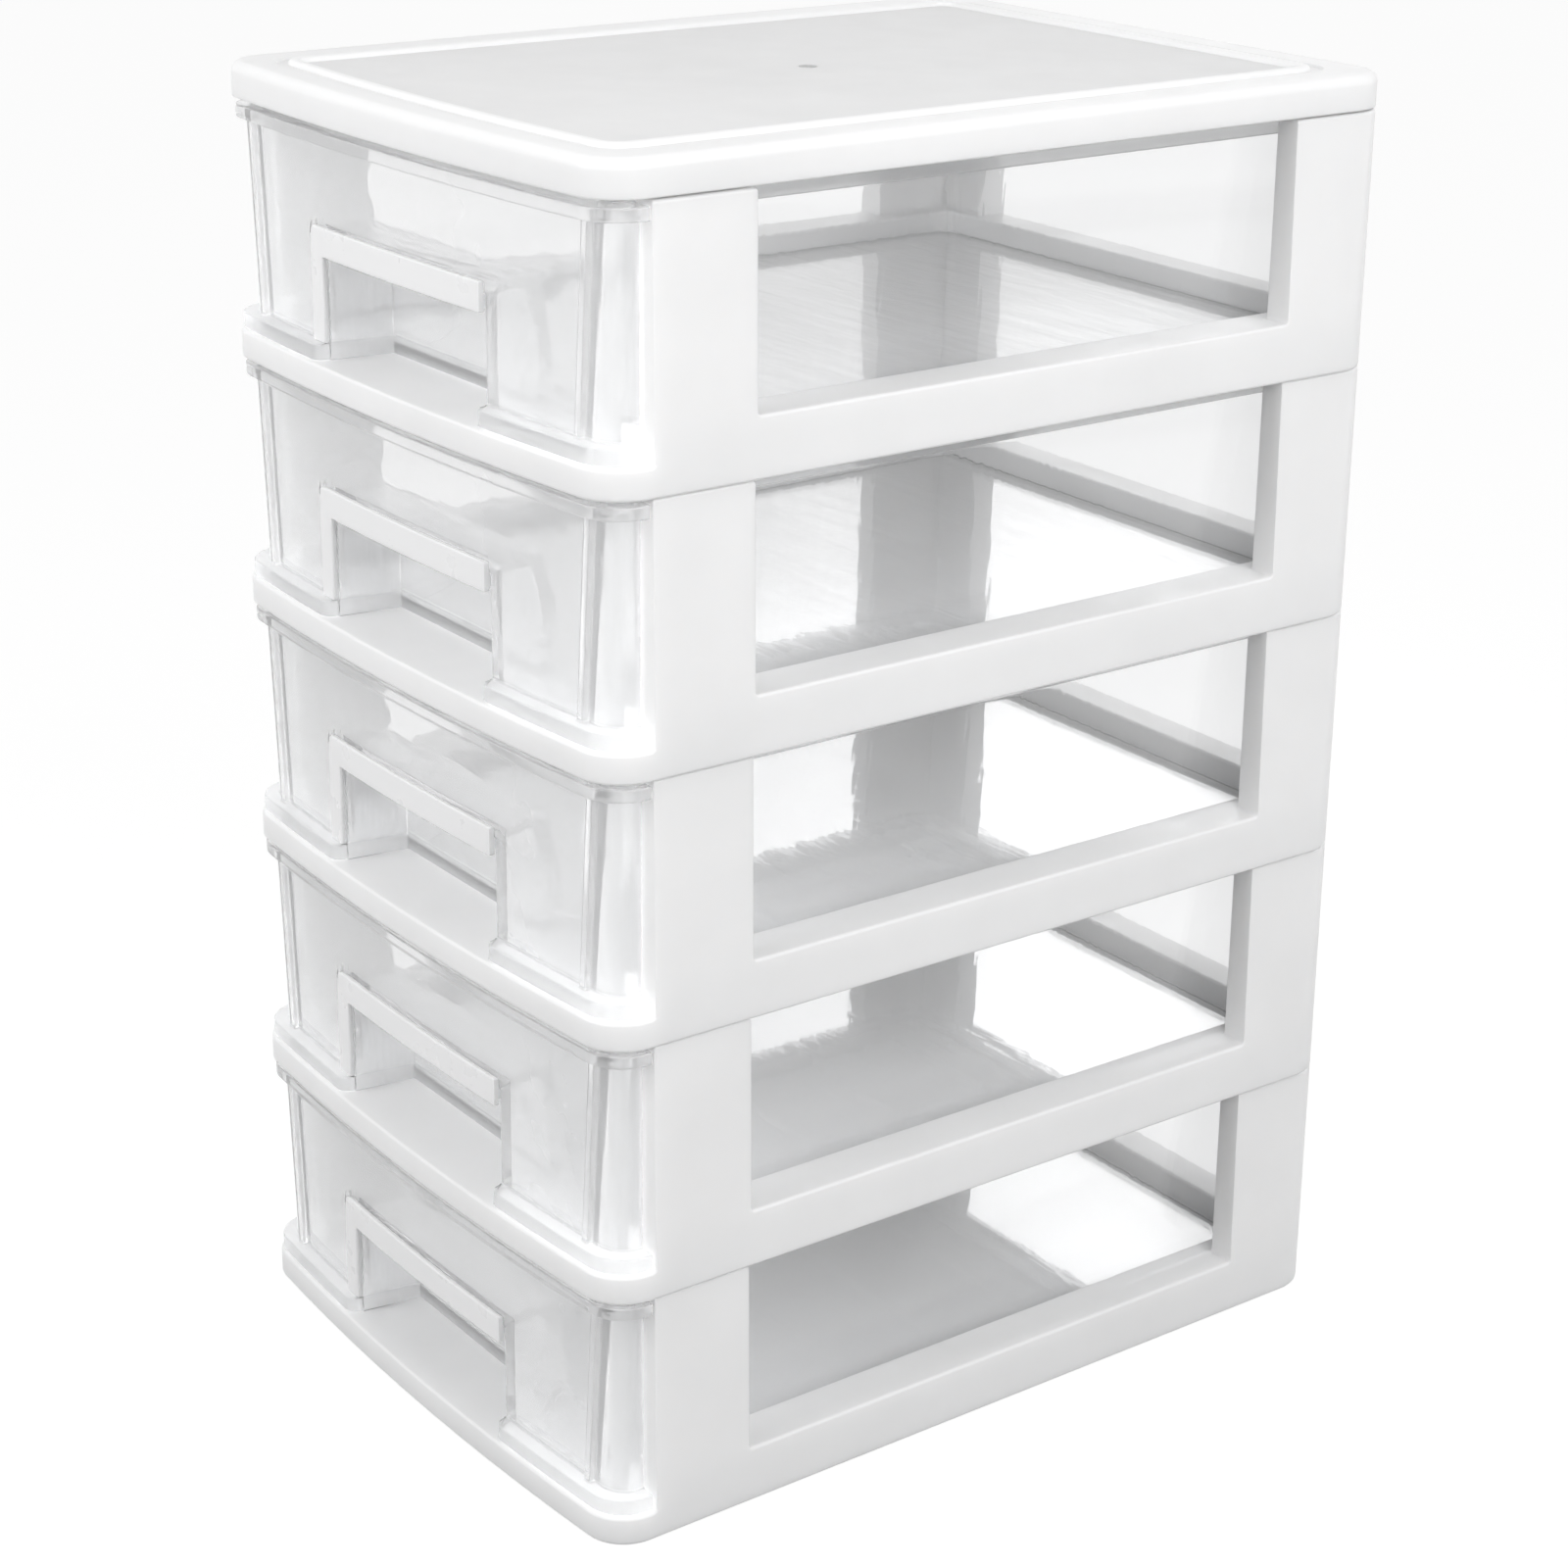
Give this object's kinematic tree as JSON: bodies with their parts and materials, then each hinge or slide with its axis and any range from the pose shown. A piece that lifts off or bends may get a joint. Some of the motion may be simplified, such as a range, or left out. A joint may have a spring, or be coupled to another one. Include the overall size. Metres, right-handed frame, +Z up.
{
  "type": "plastic drawer tower",
  "caption": "Free-standing tower of stacked white open frames under a flat cover, each holding a clear pull-out drawer with a finger pocket and a white strap handle.",
  "frame": {"origin": "middle of the base, on the surface that the tower stands on", "axes": "+Z up, +X to the right across the width as seen from the front, the bowed front and the drawers' handles face -Y"},
  "size_m": [0.13, 0.1772, 0.25],
  "materials": {
    "white_plastic": "white moulded plastic with a fine satin sheen",
    "clear_plastic": "clear moulded plastic, glossy, slightly grey at the edges",
    "handle_plastic": "white moulded plastic, smooth satin"
  },
  "bodies": {
    "housing": {"top_cover": "white_plastic", "frame_1": "white_plastic", "frame_2": "white_plastic", "frame_3": "white_plastic", "frame_4": "white_plastic", "frame_5": "white_plastic"},
    "drawer_body_1": {"drawer_1": "clear_plastic", "handle_1": "handle_plastic"},
    "drawer_body_2": {"drawer_2": "clear_plastic", "handle_2": "handle_plastic"},
    "drawer_body_3": {"drawer_3": "clear_plastic", "handle_3": "handle_plastic"},
    "drawer_body_4": {"drawer_4": "clear_plastic", "handle_4": "handle_plastic"},
    "drawer_body_5": {"drawer_5": "clear_plastic", "handle_5": "handle_plastic"}
  },
  "joints": [
    {"name": "drawer_1_slide", "type": "slide", "parent": "housing", "child": "drawer_body_1", "axis": [0, -1, 0], "range_m": [0, 0.12]},
    {"name": "drawer_2_slide", "type": "slide", "parent": "housing", "child": "drawer_body_2", "axis": [0, -1, 0], "range_m": [0, 0.12]},
    {"name": "drawer_3_slide", "type": "slide", "parent": "housing", "child": "drawer_body_3", "axis": [0, -1, 0], "range_m": [0, 0.12]},
    {"name": "drawer_4_slide", "type": "slide", "parent": "housing", "child": "drawer_body_4", "axis": [0, -1, 0], "range_m": [0, 0.12]},
    {"name": "drawer_5_slide", "type": "slide", "parent": "housing", "child": "drawer_body_5", "axis": [0, -1, 0], "range_m": [0, 0.12]}
  ]
}
